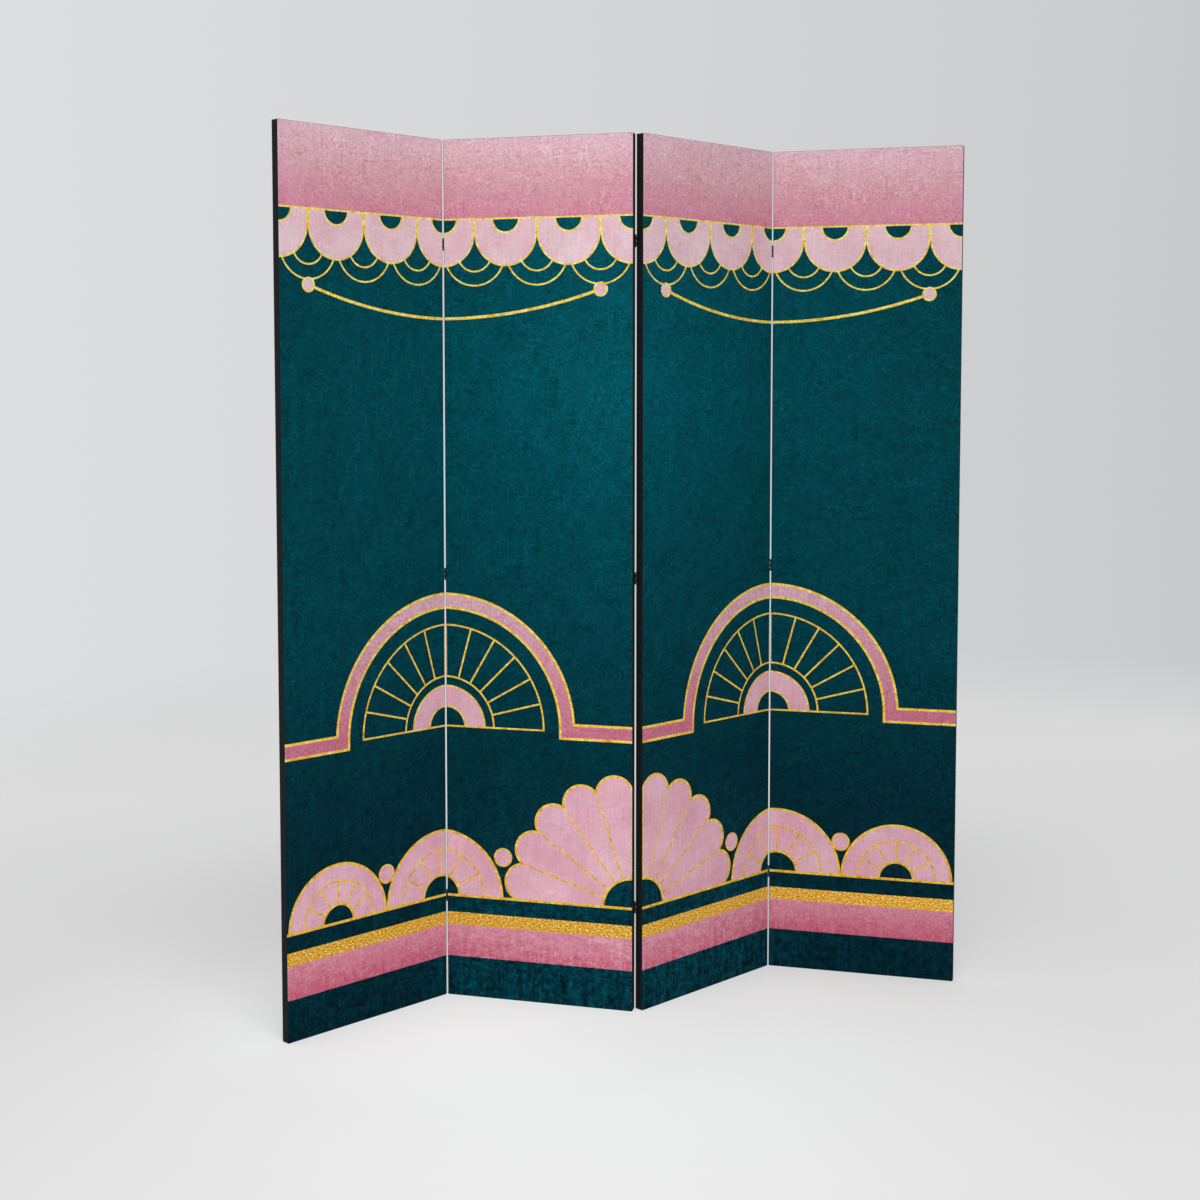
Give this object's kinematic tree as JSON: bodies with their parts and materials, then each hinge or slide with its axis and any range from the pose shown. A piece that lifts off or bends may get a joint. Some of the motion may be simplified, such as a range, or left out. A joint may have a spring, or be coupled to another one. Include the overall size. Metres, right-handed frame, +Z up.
{
  "type": "folding room divider",
  "caption": "Free-standing folding screen of tall hinged panels: printed canvas over timber frames, black edges, folds flat.",
  "frame": {"origin": "on the floor, in the middle of the box round the screen as it stands in its zigzag", "axes": "+X along the line on which the screen stands, to the right as seen from the printed side; +Y to the back; +Z up"},
  "size_m": [1.431, 0.2164, 1.78],
  "materials": {
    "timber": "planed, unfinished softwood",
    "printed_canvas": "matte canvas with a printed design",
    "black_cloth": "matte plain weave",
    "black_tape": "matte woven tape",
    "black_steel": "satin black coating",
    "black_screws": "black oxide",
    "staple_wire": "galvanised wire"
  },
  "bodies": {
    "panel_1": {"panel_1_left_stile": "timber", "panel_1_right_stile": "timber", "panel_1_top_rail": "timber", "panel_1_middle_rail": "timber", "panel_1_bottom_rail": "timber", "panel_1_front_canvas": "printed_canvas", "panel_1_back_cloth": "black_cloth", "panel_1_edge_tape": "black_tape", "panel_1_staples": "staple_wire", "panel_1_hinge_screws": "black_screws", "fold_1_top_left_leaf": "black_steel", "fold_1_middle_left_leaf": "black_steel", "fold_1_bottom_left_leaf": "black_steel"},
    "panel_2": {"panel_2_left_stile": "timber", "panel_2_right_stile": "timber", "panel_2_top_rail": "timber", "panel_2_middle_rail": "timber", "panel_2_bottom_rail": "timber", "panel_2_front_canvas": "printed_canvas", "panel_2_back_cloth": "black_cloth", "panel_2_edge_tape": "black_tape", "panel_2_staples": "staple_wire", "panel_2_hinge_screws": "black_screws", "panel_2_hinge_pins": "black_steel", "fold_1_top_right_leaf": "black_steel", "fold_1_middle_right_leaf": "black_steel", "fold_1_bottom_right_leaf": "black_steel", "fold_2_top_left_leaf": "black_steel", "fold_2_middle_left_leaf": "black_steel", "fold_2_bottom_left_leaf": "black_steel"},
    "panel_3": {"panel_3_left_stile": "timber", "panel_3_right_stile": "timber", "panel_3_top_rail": "timber", "panel_3_middle_rail": "timber", "panel_3_bottom_rail": "timber", "panel_3_front_canvas": "printed_canvas", "panel_3_back_cloth": "black_cloth", "panel_3_edge_tape": "black_tape", "panel_3_staples": "staple_wire", "panel_3_hinge_screws": "black_screws", "panel_3_hinge_pins": "black_steel", "fold_2_top_right_leaf": "black_steel", "fold_2_middle_right_leaf": "black_steel", "fold_2_bottom_right_leaf": "black_steel", "fold_3_top_left_leaf": "black_steel", "fold_3_middle_left_leaf": "black_steel", "fold_3_bottom_left_leaf": "black_steel"},
    "panel_4": {"panel_4_left_stile": "timber", "panel_4_right_stile": "timber", "panel_4_top_rail": "timber", "panel_4_middle_rail": "timber", "panel_4_bottom_rail": "timber", "panel_4_front_canvas": "printed_canvas", "panel_4_back_cloth": "black_cloth", "panel_4_edge_tape": "black_tape", "panel_4_staples": "staple_wire", "panel_4_hinge_screws": "black_screws", "fold_3_top_right_leaf": "black_steel", "fold_3_middle_right_leaf": "black_steel", "fold_3_bottom_right_leaf": "black_steel"}
  },
  "joints": [
    {"name": "fold_1", "type": "hinge", "parent": "panel_2", "child": "panel_1", "pos_m": [-0.35839, 0.09203, 0.89], "axis": [0, 0, 1], "range_deg": [-60, 120]},
    {"name": "fold_2", "type": "hinge", "parent": "panel_2", "child": "panel_3", "pos_m": [0, -0.09203, 0.89], "axis": [0, 0, 1], "range_deg": [-60, 120]},
    {"name": "fold_3", "type": "hinge", "parent": "panel_3", "child": "panel_4", "pos_m": [0.35839, 0.09203, 0.89], "axis": [0, 0, -1], "range_deg": [-60, 120]}
  ]
}
